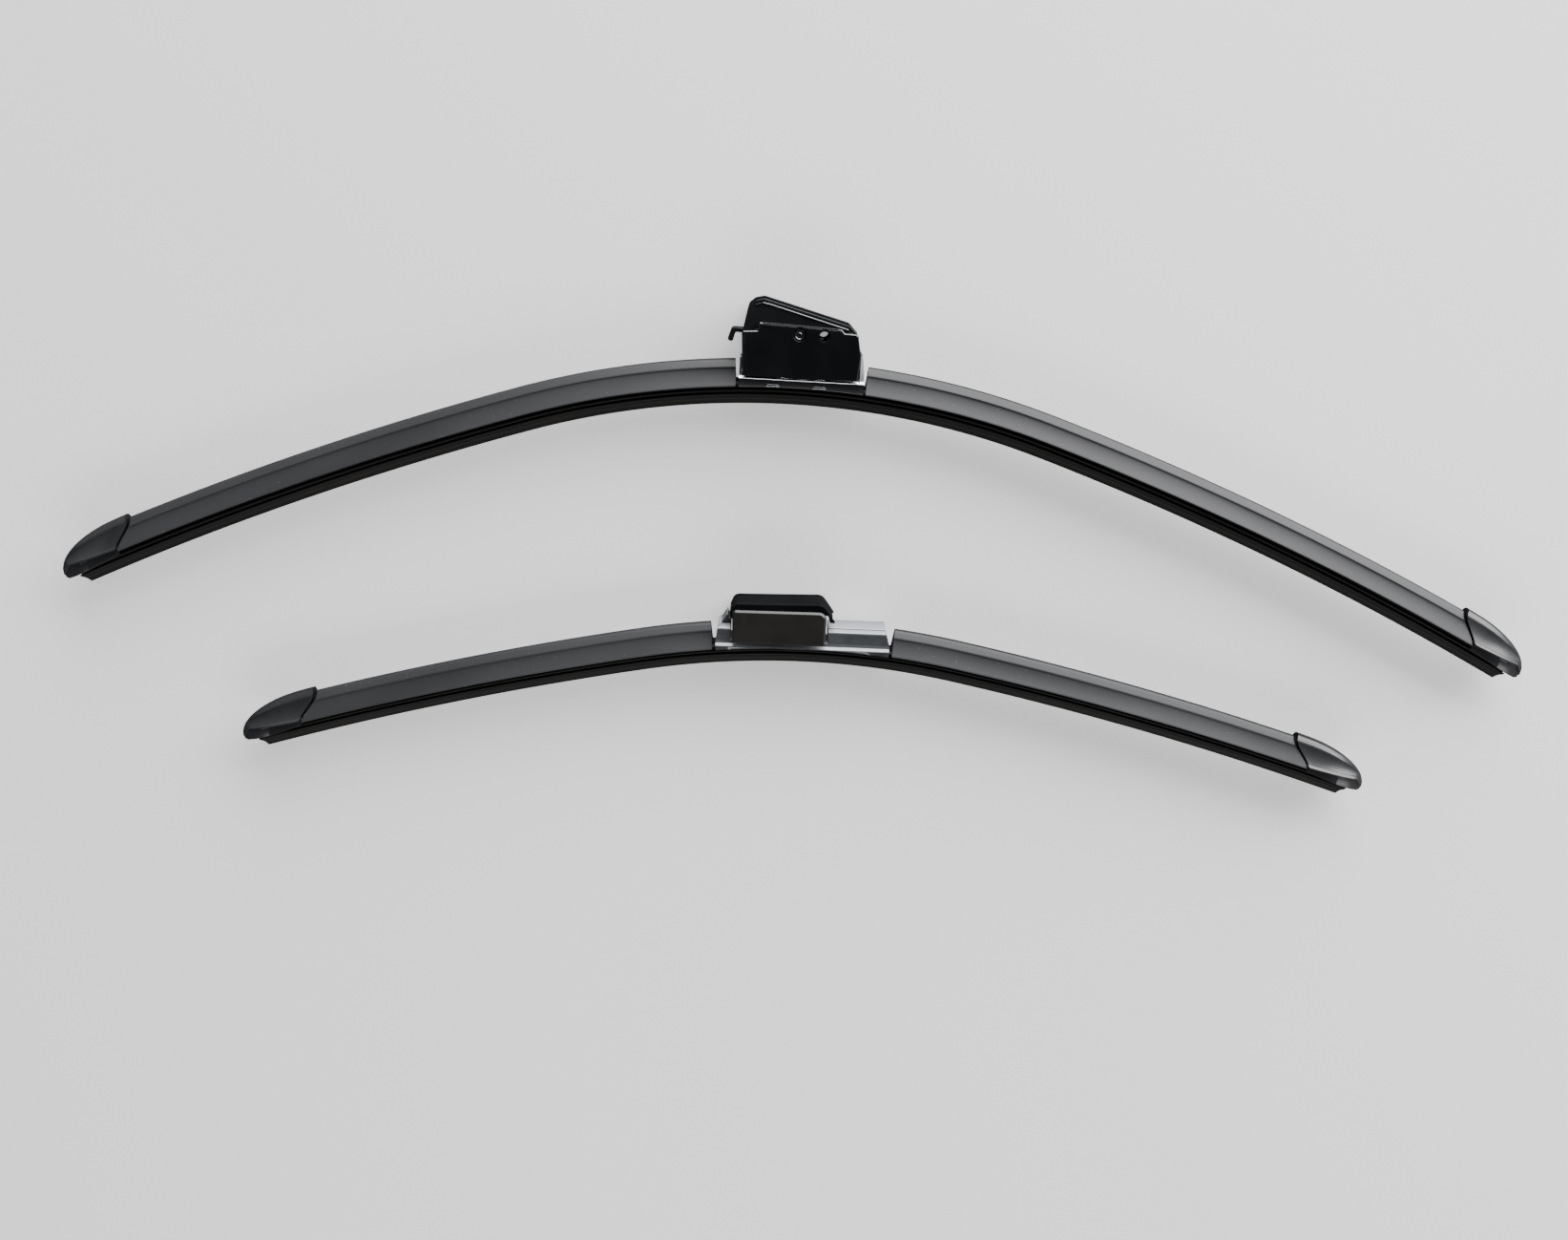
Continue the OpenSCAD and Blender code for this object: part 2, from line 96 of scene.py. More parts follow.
class Finish:
    """A material under construction."""

    def __init__(self, name):
        self.material = bpy.data.materials.new(name)
        self.material.use_nodes = True
        self.tree = self.material.node_tree
        self.shader = next(n for n in self.tree.nodes if n.type == "BSDF_PRINCIPLED")

    def node(self, kind, settings=None, output=0, **inputs):
        """Any node: its settings first, then its inputs by name; _ stands for a space."""
        node = self.tree.nodes.new("ShaderNode" + kind)
        for key, value in (settings or {}).items():
            setattr(node, key, value)
        for key, value in inputs.items():
            plug(self.tree, node.inputs[key.replace("_", " ")], value)
        return Value(self.tree, node.outputs[output])

    def place(self, stretch=(1, 1, 1), along=False):
        """Metres on the piece, stretched; along follows the blade's own line instead."""
        at = self.node("TexCoord", output="UV" if along else "Object")
        return self.node("Mapping", Vector=at, Scale=stretch)

    def noise(self, size_mm, stretch=(1, 1, 1), along=False, detail=3.0, rough=0.55):
        return self.node("TexNoise", Vector=self.place(stretch, along), Scale=1000.0 / size_mm,
                         Detail=detail, Roughness=rough)

    def mix(self, factor, a, b):
        """Colour a where factor is 0, b where it is 1."""
        node = self.tree.nodes.new("ShaderNodeMix")
        node.data_type = "RGBA"
        for slot, value in ((node.inputs[0], factor), (node.inputs[6], a), (node.inputs[7], b)):
            plug(self.tree, slot, value)
        return Value(self.tree, node.outputs[2])

    def split(self, vector, axis):
        return self.node("SeparateXYZ", output=axis, Vector=vector)

    def bump(self, height, depth_mm, strength=1.0, under=None):
        extra = {"Normal": under} if under else {}
        return self.node("Bump", Height=height, Distance=depth_mm * MM, Strength=strength, **extra)

    def put(self, **inputs):
        for key, value in inputs.items():
            plug(self.tree, self.shader.inputs[key.replace("_", " ")], value)
        return self.material


def spoiler_rubber():
    f = Finish("spoiler_rubber")
    streaks = f.noise(3.0, (0.02, 1, 1), along=True, detail=4.0)
    clouds = f.noise(38.0, (0.35, 1, 1), along=True, detail=2.0)
    grain = f.noise(0.35, (0.5, 1, 1), along=True, detail=2.0)
    dust_and_painted_light = f.noise(1.1, along=True, detail=1.0).ramp(0.70, 0.78)
    tone = f.mix(clouds.ramp(0.35, 0.65), (0.020, 0.021, 0.023), (0.031, 0.032, 0.035))
    tone = f.mix(dust_and_painted_light * 0.35, tone, (0.16, 0.16, 0.155))
    normal = f.bump(streaks * 0.7 + grain * 0.3, 0.03, 0.5)
    return f.put(Base_Color=tone, Normal=normal, Specular_IOR_Level=0.42,
                 Roughness=0.33 + 0.10 * streaks + 0.10 * clouds + 0.1 * dust_and_painted_light)


def wiping_rubber():
    f = Finish("wiping_rubber")
    height = f.split(f.node("TexCoord", output="UV"), 1)
    streaks = f.noise(1.6, (0.012, 1, 1), along=True, detail=4.0)
    clouds = f.noise(24.0, (0.3, 1, 1), along=True, detail=3.0)
    grain = f.noise(0.3, along=True, detail=2.0)
    tone = f.mix(clouds.ramp(0.35, 0.7), (0.0050, 0.0046, 0.0042), (0.0090, 0.0082, 0.0074))
    tone = f.mix(height.ramp(0.0030, 0.0002) * 0.5, tone, (0.020, 0.0175, 0.0155))
    return f.put(Base_Color=tone, Roughness=0.50 + 0.16 * streaks, Specular_IOR_Level=0.22,
                 Normal=f.bump(streaks * 0.8 + grain * 0.2, 0.03, 0.6))


def moulded(name, dark, light, rough, grain_mm, depth_mm, specular=0.5, wear=0.4, dust_and_painted_light=0.0):
    """Injection-moulded plastic: a soft change of tone, faint flow marks, fine texture, handling marks, and where asked
    a painted highlight on faces turned towards the lamp side.
    """
    f = Finish(name)
    clouds = f.noise(14.0, detail=2.0)
    flow = f.noise(5.0, (0.25, 1, 1), detail=3.0)
    grain = f.noise(grain_mm, detail=2.0)
    marks = f.noise(7.0, (1, 0.15, 1), detail=6.0, rough=0.75).ramp(0.60, 0.72)
    tone = f.mix(clouds.ramp(0.3, 0.7), dark, light)
    tone = f.mix(marks * 0.06 * wear, tone, (0.3, 0.3, 0.3))
    # Painted light: faces turned towards the spine side, where the main panel lamp stands, are painted a paler bluish
    # grey, more where the flow noise is high.
    if dust_and_painted_light:
        painted_light_mask = f.split(f.node("TexCoord", output="Normal"), 1).ramp(0.30, 0.80)
        tone = f.mix(painted_light_mask * (0.8 + 0.4 * flow) * dust_and_painted_light, tone, (0.46, 0.48, 0.52))
    return f.put(Base_Color=tone, Specular_IOR_Level=specular,
                 Roughness=rough + 0.08 * (flow - 0.5) + 0.12 * wear * marks,
                 Normal=f.bump(grain + 0.4 * flow, depth_mm, 0.5))


def steel(name, dark, light, rough, lines=(0.03, 1, 1)):
    f = Finish(name)
    brushed = f.noise(0.5, lines, detail=4.0)
    clouds = f.noise(9.0, detail=3.0)
    tarnish = f.noise(4.0, detail=5.0, rough=0.7).ramp(0.58, 0.75)
    tone = f.mix(clouds.ramp(0.3, 0.7), dark, light)
    tone = f.mix(tarnish * 0.3, tone, (0.30, 0.28, 0.25))
    return f.put(Base_Color=tone, Metallic=1.0, Roughness=rough + 0.12 * brushed + 0.15 * tarnish,
                 Normal=f.bump(brushed, 0.004, 0.4))


FINISHES = {
    "spoiler_rubber": spoiler_rubber(),
    "wiping_rubber": wiping_rubber(),
    "spring_steel": steel("spring_steel", (0.36, 0.36, 0.38), (0.46, 0.46, 0.48), 0.28),
    "cap_plastic": moulded("cap_plastic", (0.017, 0.018, 0.020), (0.026, 0.027, 0.030), 0.30, 0.5, 0.02, 0.6),
    "carrier_steel": steel("carrier_steel", (0.62, 0.63, 0.66), (0.78, 0.79, 0.82), 0.14),
    "gloss_black": moulded("gloss_black", (0.0030, 0.0034, 0.0042), (0.0052, 0.0058, 0.0068), 0.15, 0.9, 0.004, 0.8),
    "lid_black": moulded("lid_black", (0.0055, 0.0062, 0.0075), (0.0090, 0.0100, 0.0115), 0.30, 0.6, 0.012),
    "satin_black": moulded("satin_black", (0.0085, 0.0080, 0.0074), (0.0130, 0.0122, 0.0114), 0.38, 0.35, 0.015, 0.6),
    "blackened_steel": steel("blackened_steel", (0.11, 0.11, 0.115), (0.16, 0.16, 0.165), 0.16, (1, 1, 1)),
    "pin_steel": steel("pin_steel", (0.42, 0.42, 0.44), (0.56, 0.56, 0.58), 0.25),
    "bush_plastic": moulded("bush_plastic", (0.62, 0.60, 0.55), (0.74, 0.72, 0.67), 0.42, 0.6, 0.01),
    # base_grey has a painted highlight on its faces towards the lamp side.
    "base_grey": moulded("base_grey", (0.046, 0.050, 0.055), (0.068, 0.074, 0.081), 0.24, 0.5, 0.010, 0.95, dust_and_painted_light=0.8),
    "cover_black": moulded("cover_black", (0.0022, 0.0026, 0.0036), (0.0045, 0.0052, 0.0066), 0.40, 0.7, 0.008, 0.14),
}


# ---- The two blades' own frames, in millimetres: u along, v over the lip, z across ----

class Blade:
    def __init__(self, name, crown, half, arm, left, right, pivot_u, turn, seam):
        self.name, self.crown, self.half, self.arm = name, crown, half, arm
        self.left, self.right, self.seam = left, right, seam
        low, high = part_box(name + "_pivot_pin")
        middle = (Vector(low) + Vector(high)) / 2
        self.at = (Matrix.Translation(middle) @ Matrix.Rotation(radians(turn), 4, "Z")
                   @ Matrix.Translation((-pivot_u * MM, -17.0 * MM, 0)))

    def on_line(self, s, h):
        """The point at a height over the wiping line, s along it from the crown."""
        sign = -1 if s < 0 else 1
        s = abs(s)
        if s <= self.half:
            a = s / self.crown
            x, y = (self.crown + h) * sin(a), (self.crown + h) * cos(a) - self.crown
        else:
            turn = self.half / self.crown
            a = turn + (s - self.half) / self.arm
            x = (self.crown - self.arm) * sin(turn) + (self.arm + h) * sin(a)
            y = (self.crown - self.arm) * cos(turn) - self.crown + (self.arm + h) * cos(a)
        return sign * x, y

    def tip(self, side):
        """Frame of a tip: x out of the blade along its wiping line, y over it."""
        reach = self.right if side > 0 else self.left
        lean = self.half / self.crown + (reach - self.half) / self.arm
        x, y = self.on_line(reach, 0)
        mirror = Matrix.Diagonal((side, 1, 1, 1))
        return self.at @ mirror @ Matrix.Translation((x * MM, y * MM, 0)) @ Matrix.Rotation(-lean, 4, "Z")


LONG = Blade("long", 341.0, 106.7, 1400.0, 314.0, 335.0, 5.0, 0.0, (-21.3, 30.2))
SHORT = Blade("short", 345.0, 65.4, 1450.0, 242.0, 252.0, -9.0, 0.8, (-36.0, 38.4))


# ---- Mesh building ----

def piece(name, at, points, faces, nodes, body, finish, uvs=None, sharp=30.0, bevel=0.0, segments=3, slot=None):
    """A detailed piece from points in millimetres; it stands for CAD nodes and rides on a body."""
    mesh = bpy.data.meshes.new(name)
    mesh.from_pydata([at @ (Vector(p) * MM) for p in points], [], faces)
    if uvs:
        layer = mesh.uv_layers.new(name="UVMap")
        for loop in mesh.loops:
            layer.data[loop.index].uv = uvs[loop.vertex_index]
    shaper = bmesh.new()
    shaper.from_mesh(mesh)
    bmesh.ops.remove_doubles(shaper, verts=shaper.verts, dist=1e-7)
    bmesh.ops.recalc_face_normals(shaper, faces=shaper.faces)
    shaper.to_mesh(mesh)
    shaper.free()
    mesh.shade_smooth()
    if not bevel:
        mesh.set_sharp_from_angle(angle=radians(sharp))
    obj = bpy.data.objects.new(name, mesh)
    bpy.context.scene.collection.objects.link(obj)
    mesh.materials.append(FINISHES[finish])
    if bevel:
        edge = obj.modifiers.new("edges", "BEVEL")
        edge.width, edge.segments, edge.limit_method = bevel * MM, segments, "ANGLE"
        edge.angle_limit, edge.harden_normals = radians(sharp), segments > 1
        if segments == 1:
            mesh.shade_flat()
    if nodes:
        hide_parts(*nodes)
    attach(obj, body)
    return obj


def rounded(outline, steps=5):
    """An outline whose points are (u, v) or (u, v, corner radius)."""
    done = []
    for i, p in enumerate(outline):
        at = Vector(p[:2])
        radius = p[2] if len(p) > 2 else 0
        if not radius:
            done.append(tuple(at))
            continue
        a = (Vector(outline[i - 1][:2]) - at).normalized()
        b = (Vector(outline[(i + 1) % len(outline)][:2]) - at).normalized()
        half = a.angle(b) / 2
        centre = at + (a + b).normalized() * radius / sin(half)
        first = at + a * radius / (sin(half) / cos(half)) - centre
        last = at + b * radius / (sin(half) / cos(half)) - centre
        start = atan2(first.y, first.x)
        sweep = (atan2(last.y, last.x) - start + 3 * pi) % (2 * pi) - pi
        for k in range(steps + 1):
            angle = start + sweep * k / steps
            done.append((centre.x + radius * cos(angle), centre.y + radius * sin(angle)))
    return done


def slab(outline, z0, z1):
    """Points and faces of an outline made solid between two heights."""
    n = len(outline)
    points = [(u, v, z0) for u, v in outline] + [(u, v, z1) for u, v in outline]
    faces = [tuple(reversed(range(n))), tuple(range(n, 2 * n))]
    faces += [(i, (i + 1) % n, (i + 1) % n + n, i + n) for i in range(n)]
    return points, faces


def merged(*solids):
    points, faces = [], []
    for more, sides in solids:
        faces += [tuple(i + len(points) for i in side) for side in sides]
        points += more
    return points, faces


def loft(rows, closed=True, ends=True):
    """Points and faces of a skin over rows of points that are all as long."""
    n = len(rows[0])
    points = [p for row in rows for p in row]
    span = n if closed else n - 1
    faces = [(k * n + i, k * n + (i + 1) % n, (k + 1) * n + (i + 1) % n, (k + 1) * n + i)
             for k in range(len(rows) - 1) for i in range(span)]
    if ends:
        faces += [tuple(range(n)), tuple(reversed(range((len(rows) - 1) * n, len(rows) * n)))]
    return points, faces


def between(table, h):
    """A value from a table of (height, value), straight between its entries."""
    if h <= table[0][0]:
        return table[0][1]
    for (h0, a), (h1, b) in zip(table, table[1:]):
        if h <= h1:
            return a + (b - a) * (h - h0) / (h1 - h0)
    return table[-1][1]


def stations(s0, s1, trim0, trim1, h, step=5.0):
    """Places of the rings of a swept piece at one height; slanted ends ease out to square rings."""
    free0 = max(v for _, v in trim0) + 4
    free1 = max(v for _, v in trim1) + 4
    ease = 8
    first = [s0 + between(trim0, h) + (free0 - between(trim0, h)) * k / ease for k in range(ease)]
    count = int((s1 - free1 - s0 - free0) / step) + 1
    body = [s0 + free0 + (s1 - free1 - s0 - free0) * k / count for k in range(count + 1)]
    last = [s1 - between(trim1, h) - (free1 - between(trim1, h)) * k / ease for k in range(ease)]
    return first + body + last[::-1]


SQUARE = [(0, 0), (1, 0)]


def swept(blade, section, s0, s1, trim0=SQUARE, trim1=SQUARE, step=5.0):
    """A section of (height, across) carried along a blade, with its own (s, h) as texture place."""
    columns = [stations(s0, s1, trim0, trim1, h, step) for h, _ in section]
    rows, uvs = [], []
    for k in range(len(columns[0])):
        row = []
        for (h, z), column in zip(section, columns):
            row.append((*blade.on_line(column[k], h), z))
            uvs.append((column[k] * MM, h * MM))
        rows.append(row)
    points, faces = loft(rows)
    return points, faces, uvs


def both_sides(half):
    return half + [(h, -z) for h, z in reversed(half)]


# ---- Sections ----

CREST, FOOT, HOOK = 18.3, 6.8, 7.4
flank = [(14.6 - 6.8 * t, 3.4 + (FOOT - 3.4) * t ** 1.22) for t in (i / 14 for i in range(15))]
spoiler_half = ([(CREST, 0.35), (CREST - 0.05, 0.75), (CREST - 0.2, 1.15), (CREST - 0.45, 1.5)]
                + [(17.2, 1.98), (16.4, 2.55), (15.6, 3.11), (15.15, 3.42), (14.95, 3.5), (14.75, 3.46)]
                + flank + [(7.62, 6.86), (7.46, 6.72), (HOOK, 6.5)]
                + [(HOOK, 4.2), (8.2, 4.2), (8.2, 4.8), (9.3, 4.8), (9.3, 2.7), (10.6, 2.7)])
rubber_half = [(0, 0.3), (0.35, 0.38), (1.6, 0.45), (2.1, 0.75), (2.7, 1.3), (3.1, 1.95), (3.45, 2.35), (3.75, 2.5),
               (4.1, 2.5), (4.28, 2.42), (4.2, 0.55), (5, 0.55), (4.92, 2.25), (5.1, 2.7), (5.4, 2.9),
               (5.75, 2.92), (5.95, 2.85), (6.2, 2.2), (6.7, 2.2), (6.9, 2.6), (8.2, 2.6), (8.2, 1.1), (9.3, 1.1),
               (9.3, 2.6),
               (10.1, 2.6), (10.4, 2.2)]

SEAM = [(5.6, -26.8), (7.6, -27.2), (10.0, -28.8), (15.2, -35.2), (17.4, -36.4)]
seam_trim = [(h, 0.85 - x) for h, x in SEAM]
rubber_trim = [(0, 9.0), (4, 6.6), (5, 6.6)]

for blade in (LONG, SHORT):
    body = blade.name + "_blade"
    for side, word in ((-1, "left"), (1, "right")):
        node = f"{blade.name}_spoiler_{word}"
        if side > 0:
            skin = swept(blade, both_sides(spoiler_half), blade.seam[1], blade.right, SQUARE, seam_trim)
        else:
            skin = swept(blade, both_sides(spoiler_half), -blade.left, blade.seam[0], seam_trim, SQUARE)
        piece(node + ".skin", blade.at, skin[0], skin[1], [node], body, "spoiler_rubber", skin[2], sharp=38)
    node = blade.name + "_wiping_rubber"
    skin = swept(blade, both_sides(rubber_half), -blade.left, blade.right, rubber_trim, rubber_trim)
    piece(node + ".lip", blade.at, skin[0], skin[1], [node], body, "wiping_rubber", skin[2], sharp=40)


# ---- End caps ----

CAP = 36.4
DOME_TOP = CREST + 1.2


def cap_top(x):
    return 7 + (DOME_TOP - 7) * sqrt(max(0.0, 1 - (max(x, -30) + 30) ** 2 / 900)) if x < 0 else 7.0


def cap_width(x):
    return 7.4 * sqrt(max(0.0, 1 - (max(x, -20) + 20) ** 2 / 404)) if x < 0 else 0.4


RIDGE = [(-37.5, 8.6), (-26, 8.5), (-15, 9.4), (-5, 10.2), (0, 7.2)]
FLOOR = [(-37.5, 5.8), (-26, 5.6), (-12, 4.7), (-6, 4.5), (-1.5, 4.6), (0, 5.6)]


def cap_profile(x):
    """Half section of an end cap at x from the tip: from its crest down over the flange to its floor."""
    top, wide = cap_top(x), cap_width(x)
    floor = min(between(FLOOR, x), top - 0.6)
    ridge = min(between(RIDGE, x), top - 0.35 * (top - floor))
    k = wide / 7.4
    crown = [(top, 0.0), (top - 0.03, 0.8 * k), (top - 0.14, 1.5 * k), (top - 0.42, 2.1 * k), (top - 0.85, 2.6 * k)]
    waist_z, waist_h = 3.9 * k, top - 0.25 * (top - ridge)
    slope = [(top - 0.85 + (waist_h - top + 0.85) * t, (2.6 + 1.3 * t) * k) for t in (0.35, 0.7, 1.0)]
    step = min(1.0, 2 * k)
    flank = [(waist_h - (waist_h - ridge - step) * t, waist_z + (wide - 1.05 * step - waist_z) * t ** 1.7) for t in (i / 12 for i in range(1, 13))]
    flank += [(ridge + 0.98 * step, wide - 0.86 * step), (ridge + 0.9 * step, wide - 0.74 * step),
              (ridge + 0.12 * step, wide - 0.12 * step),
              (ridge, wide - 0.02)]
    below = max(floor + 0.2, ridge - 0.5 * step)
    inner = max(0.3 * k, wide - 2.3 * step)
    under = [(ridge - 0.3 * step, wide - 0.04), (below, wide - 0.3 * step), (below - 0.1, inner + 0.3 * k),
             (below - 0.2, inner),
             (floor + 0.2, inner), (floor, inner - 0.2 * k), (floor, 0.5 * inner)]
    return crown + slope + flank + under


def end_cap(blade, side, word):
    """A domed shell whose rings start on the slanted seam and close up at the tip."""
    full = cap_profile(-CAP)
    inner_edge = [(h, -x) for h, x in SEAM]
    rows = []
    steps = 30
    for k in range(steps + 1):
        ease = 1 - (1 - k / steps) ** 1.6
        near = []
        for j, (h0, _) in enumerate(full):
            start = -between(inner_edge, h0) if j > 2 else -CAP
            x = start * (1 - ease) - 0.02 * ease
            near.append((x, *cap_profile(x)[j]))
        rows.append(near + [(x, h, -z) for x, h, z in reversed(near[1:])])
    points, faces = loft(rows)
    node = f"{blade.name}_end_cap_{word}"
    piece(node + ".shell", blade.tip(side), points, faces, [node], blade.name + "_blade", "cap_plastic", sharp=42)


for blade in (LONG, SHORT):
    for side, word in ((-1, "left"), (1, "right")):
        end_cap(blade, side, word)


# ---- Connector pieces ----

def ring(at, r, z, steps=40):
    return [(at[0] + r * cos(2 * pi * i / steps), at[1] + r * sin(2 * pi * i / steps), z) for i in range(steps)]


def plate_with_holes(outline, holes, z0, z1):
    """A plate between two heights with round holes (place, radius) right through it."""
    loops = [outline] + [[p[:2] for p in ring(at, r, 0)] for at, r in holes]
    shaper = bmesh.new()
    edges = []
    for loop in loops:
        corners = [shaper.verts.new((u, v, z0)) for u, v in loop]
        edges += [shaper.edges.new((corners[i], corners[(i + 1) % len(loop)])) for i in range(len(loop))]
    filled = bmesh.ops.triangle_fill(shaper, edges=edges, use_beauty=True, use_dissolve=True)
    sides = [e for e in filled["geom"] if isinstance(e, bmesh.types.BMFace)]
    grown = bmesh.ops.extrude_face_region(shaper, geom=sides)
    tops = [e for e in grown["geom"] if isinstance(e, bmesh.types.BMVert)]
    bmesh.ops.translate(shaper, verts=tops, vec=(0, 0, z1 - z0))
    bmesh.ops.recalc_face_normals(shaper, faces=shaper.faces)
    shaper.verts.index_update()
    points = [tuple(v.co) for v in shaper.verts]
    faces = [tuple(v.index for v in f.verts) for f in shaper.faces]
    shaper.free()
    return points, faces


def box_solid(u, v, z):
    return slab([(u[0], v[0]), (u[1], v[0]), (u[1], v[1]), (u[0], v[1])], z[0], z[1])


def turned(at, profile, steps=40):
    """A turned ring or boss about z: profile is (radius, z) from its inner edge round to the start."""
    rows = [ring(at, r, z, steps) for r, z in profile]
    points, faces = loft(rows, ends=False)
    n = steps
    last = (len(profile) - 1) * n
    faces += [(last + i, last + (i + 1) % n, (i + 1) % n, i) for i in range(n)]
    return points, faces


def disc(at, profile, steps=40):
    """A turned solid about z that is closed on the axis: profile is (radius, z) from bottom to top."""
    return loft([ring(at, r, z, steps) for r, z in profile])


def mirrored(solid):
    points, faces = solid
    return [(u, v, -z) for u, v, z in points], [tuple(reversed(f)) for f in faces]


def both(solid):
    return merged(solid, mirrored(solid))


PIVOT = 17.0
OUTER, INNER = 11.0, 9.2
CROSS, HOLE, LID_AT, LATCH_AT = (2.9, 29.3), (12.8, 29.1), (23.2, 28.6), (-9.0, 28.6)

# Long housing: two polished cheeks, a floor, the bosses of the bushes, and rings round the two holes.
wall = rounded([(-19.2, 11.9, 1), (26.9, 11.9, 0.6), (27.9, 22, 6), (26.2, 30.6, 1.5), (20.8, 30.8), (19.5, 32.3, 0.6),
                (-13.3, 33.4, 0.6), (-13.9, 30.1), (-20.3, 29.6, 0.8)])
cheek = plate_with_holes(wall, [(CROSS, 2.85), (HOLE, 2.6)], INNER, OUTER - 0.05)
piece("long_housing.cheeks", LONG.at, *both(cheek), ["long_housing"], "long_connector", "gloss_black",
      bevel=0.5, sharp=35, segments=1)
floor_parts = [box_solid(*b) for b in (((-18.5, -4.2), (15.6, 17), (-9.3, 9.3)), ((14.2, 26), (15.6, 17), (-9.3, 9.3)),
                                      ((24.6, 26), (15.6, 21), (-9.3, 9.3)))]
boss = turned((5, PIVOT), [(3.4, 7.2), (4.8, 7.2), (4.8, 9.3), (3.4, 9.3)])
piece("long_housing.floor", LONG.at, *merged(*floor_parts, both(boss)), ["long_housing"], "long_connector",
      "gloss_black", bevel=0.15)
rim = turned(HOLE, [(2.0, 9.3), (2.0, 10.35), (2.45, 10.95), (2.62, 11.0), (2.95, 11.0), (3.05, 10.6), (3.05, 9.3)])
collar = turned(CROSS, [(2.32, 9.3), (2.32, 10.45), (2.7, 10.95), (2.85, 11.0), (3.15, 11.0), (3.25, 10.6),
                (3.25, 9.3)])
# A thin bright line along the cheek's upper edge, sloping with it.
ROLLED = [(32.75, 0.0), (33.42, -0.72), (32.75, -0.72)]
rolled = [[(u, v - 0.0335 * (u + 13.1), 10.99 + z) for v, z in ROLLED] for u in (-13.1, 3.0, 19.3)]
piece("long_housing.rims", LONG.at, *both(merged(rim, collar, loft(rolled))), ["long_housing"], "long_connector",
      "gloss_black", sharp=20)

# The cross pin: a plain shank and two riveted heads, each dished with a small peen in the middle.
head = disc(CROSS, [(1.6, 9.8), (2.2, 10.0), (2.28, 10.45), (2.0, 10.7), (1.75, 10.7), (1.45, 10.42), (1.0, 10.4),
                (0.75, 10.6), (0.4, 10.66)])
shank = disc(CROSS, [(1.6, -9.9), (1.6, 9.9)])
piece("long_cross_pin.rivet", LONG.at, *merged(both(head), shank), ["long_cross_pin"], "long_connector",
      "blackened_steel", sharp=20)


# Lid: two skirts under a roof, with a raised border along each skirt just inside the slope.
lid_out = rounded([(-20.1, 29.2, 0.5), (-18.1, 39.6, 3), (-15.4, 41.8, 2), (-11.8, 42.6, 1), (23, 33.6, 3),
                (26.6, 29.8, 1.5),
                   (26.9, 26.4, 0.4), (20.6, 26.4), (19.3, 31.4), (-15, 31.4), (-15.6, 29.2)], 8)
lid_skirt = slab(lid_out, 7.5, 8.5)
roof_out = [(-19.4, 29.3), (-17.9, 37.2), (-17.0, 39.2), (-15.0, 41.0), (-12.2, 41.7), (-11.2, 41.5), (22.0, 32.7),
            (24.1, 31.2), (25.8, 29.4), (26.2, 26.5)]
roof_in = [(-18.3, 29.5), (-15.6, 37.9), (-11.8, 40.4), (21.6, 31.6), (24.6, 29.2), (25.0, 26.6)]
roof = slab(roof_out + roof_in[::-1], -8.2, 8.2)
knuckle = turned(LID_AT, [(1.3, 5.0), (2.4, 5.0), (2.4, 8.7), (1.3, 8.7)])
piece("long_lid.skirts", LONG.at, *both(lid_skirt), ["long_lid"], "long_lid",
      "lid_black", bevel=0.3, sharp=32, segments=2)
piece("long_lid.roof", LONG.at, *merged(roof, both(knuckle)), ["long_lid"], "long_lid",
      "lid_black", bevel=0.2, sharp=32)
rib = [(-15.6, 40.2), (-12.2, 41.2), (-9.0, 40.6), (22.0, 32.4), (22.6, 31.95), (22.0, 31.8), (-9.2, 39.7),
       (-12.0, 40.3), (-14.6, 39.5)]
piece("long_lid.border", LONG.at, *both(slab(rib, 8.2, 8.9)), ["long_lid"], "long_lid", "gloss_black",
      bevel=0.3, sharp=32, segments=1, slot="lid_black")

# Latch: a tongue on its hinge with a hooked thumb piece.
tongue = rounded([(-9, 28), (-9, 29.5), (-24.5, 30.2, 1.6), (-26.1, 25.2, 0.9), (-23.9, 24.4, 0.9), (-22.9, 28.4, 0.8)])
piece("long_latch.tongue", LONG.at, *merged(slab(tongue, -4, 4), disc(LATCH_AT, [(1.9, -4), (1.9, 4)])), ["long_latch"],
      "long_latch", "lid_black", bevel=0.25, sharp=32)

# Short housing: plain satin cheeks with a soft edge.
short_wall = rounded([(-28.4, 9.9, 0.8), (10.6, 9.9, 0.8), (10.9, 24.6, 3.4), (-28.7, 24.2, 1.4)], 8)
piece("short_housing.cheeks", SHORT.at, *both(slab(short_wall, INNER, OUTER)), ["short_housing"], "short_connector",
      "satin_black",
      bevel=0.85, sharp=35, segments=1)
short_parts = [box_solid(*b) for b in (((-20, -15), (15.2, 16.8), (-9.3, 9.3)), ((-1, 9), (15.2, 16.8), (-9.3, 9.3)))]
short_boss = turned((-9, PIVOT), [(3.4, 7.2), (4.8, 7.2), (4.8, 9.3), (3.4, 9.3)])
piece("short_housing.floor", SHORT.at, *merged(*short_parts, both(short_boss)), ["short_housing"],
      "short_connector", "satin_black", bevel=0.15)

# Short base: a clamping rail along the blade and a ledge block at each end of the connector.
def rail_rows(u0, u1, step=2.5):
    rows = []
    count = int((u1 - u0) / step) + 1
    for k in range(count + 1):
        u = u0 + (u1 - u0) * k / count
        low = 7.15 + SHORT.on_line(u, 0)[1]
        half = [(10.6, 0.0), (10.6, 7.3), (10.4, 7.45), (9.2, 7.5), (9.05, 7.62), (8.2, 8.45), (8.0, 8.6),
                (7.8, 8.68), (7.6, 8.5),
                (7.45, 6.9), (low + 0.15, 6.6), (low, 6.3), (low, 4.2), (low + 1, 4.2), (low + 1, 4.8),
                (low + 1.9, 4.8), (low + 1.9, 2.7), (low + 3.2, 2.7)]
        rows.append([(u, v, z) for v, z in half] + [(u, v, -z) for v, z in reversed(half)])
    return rows


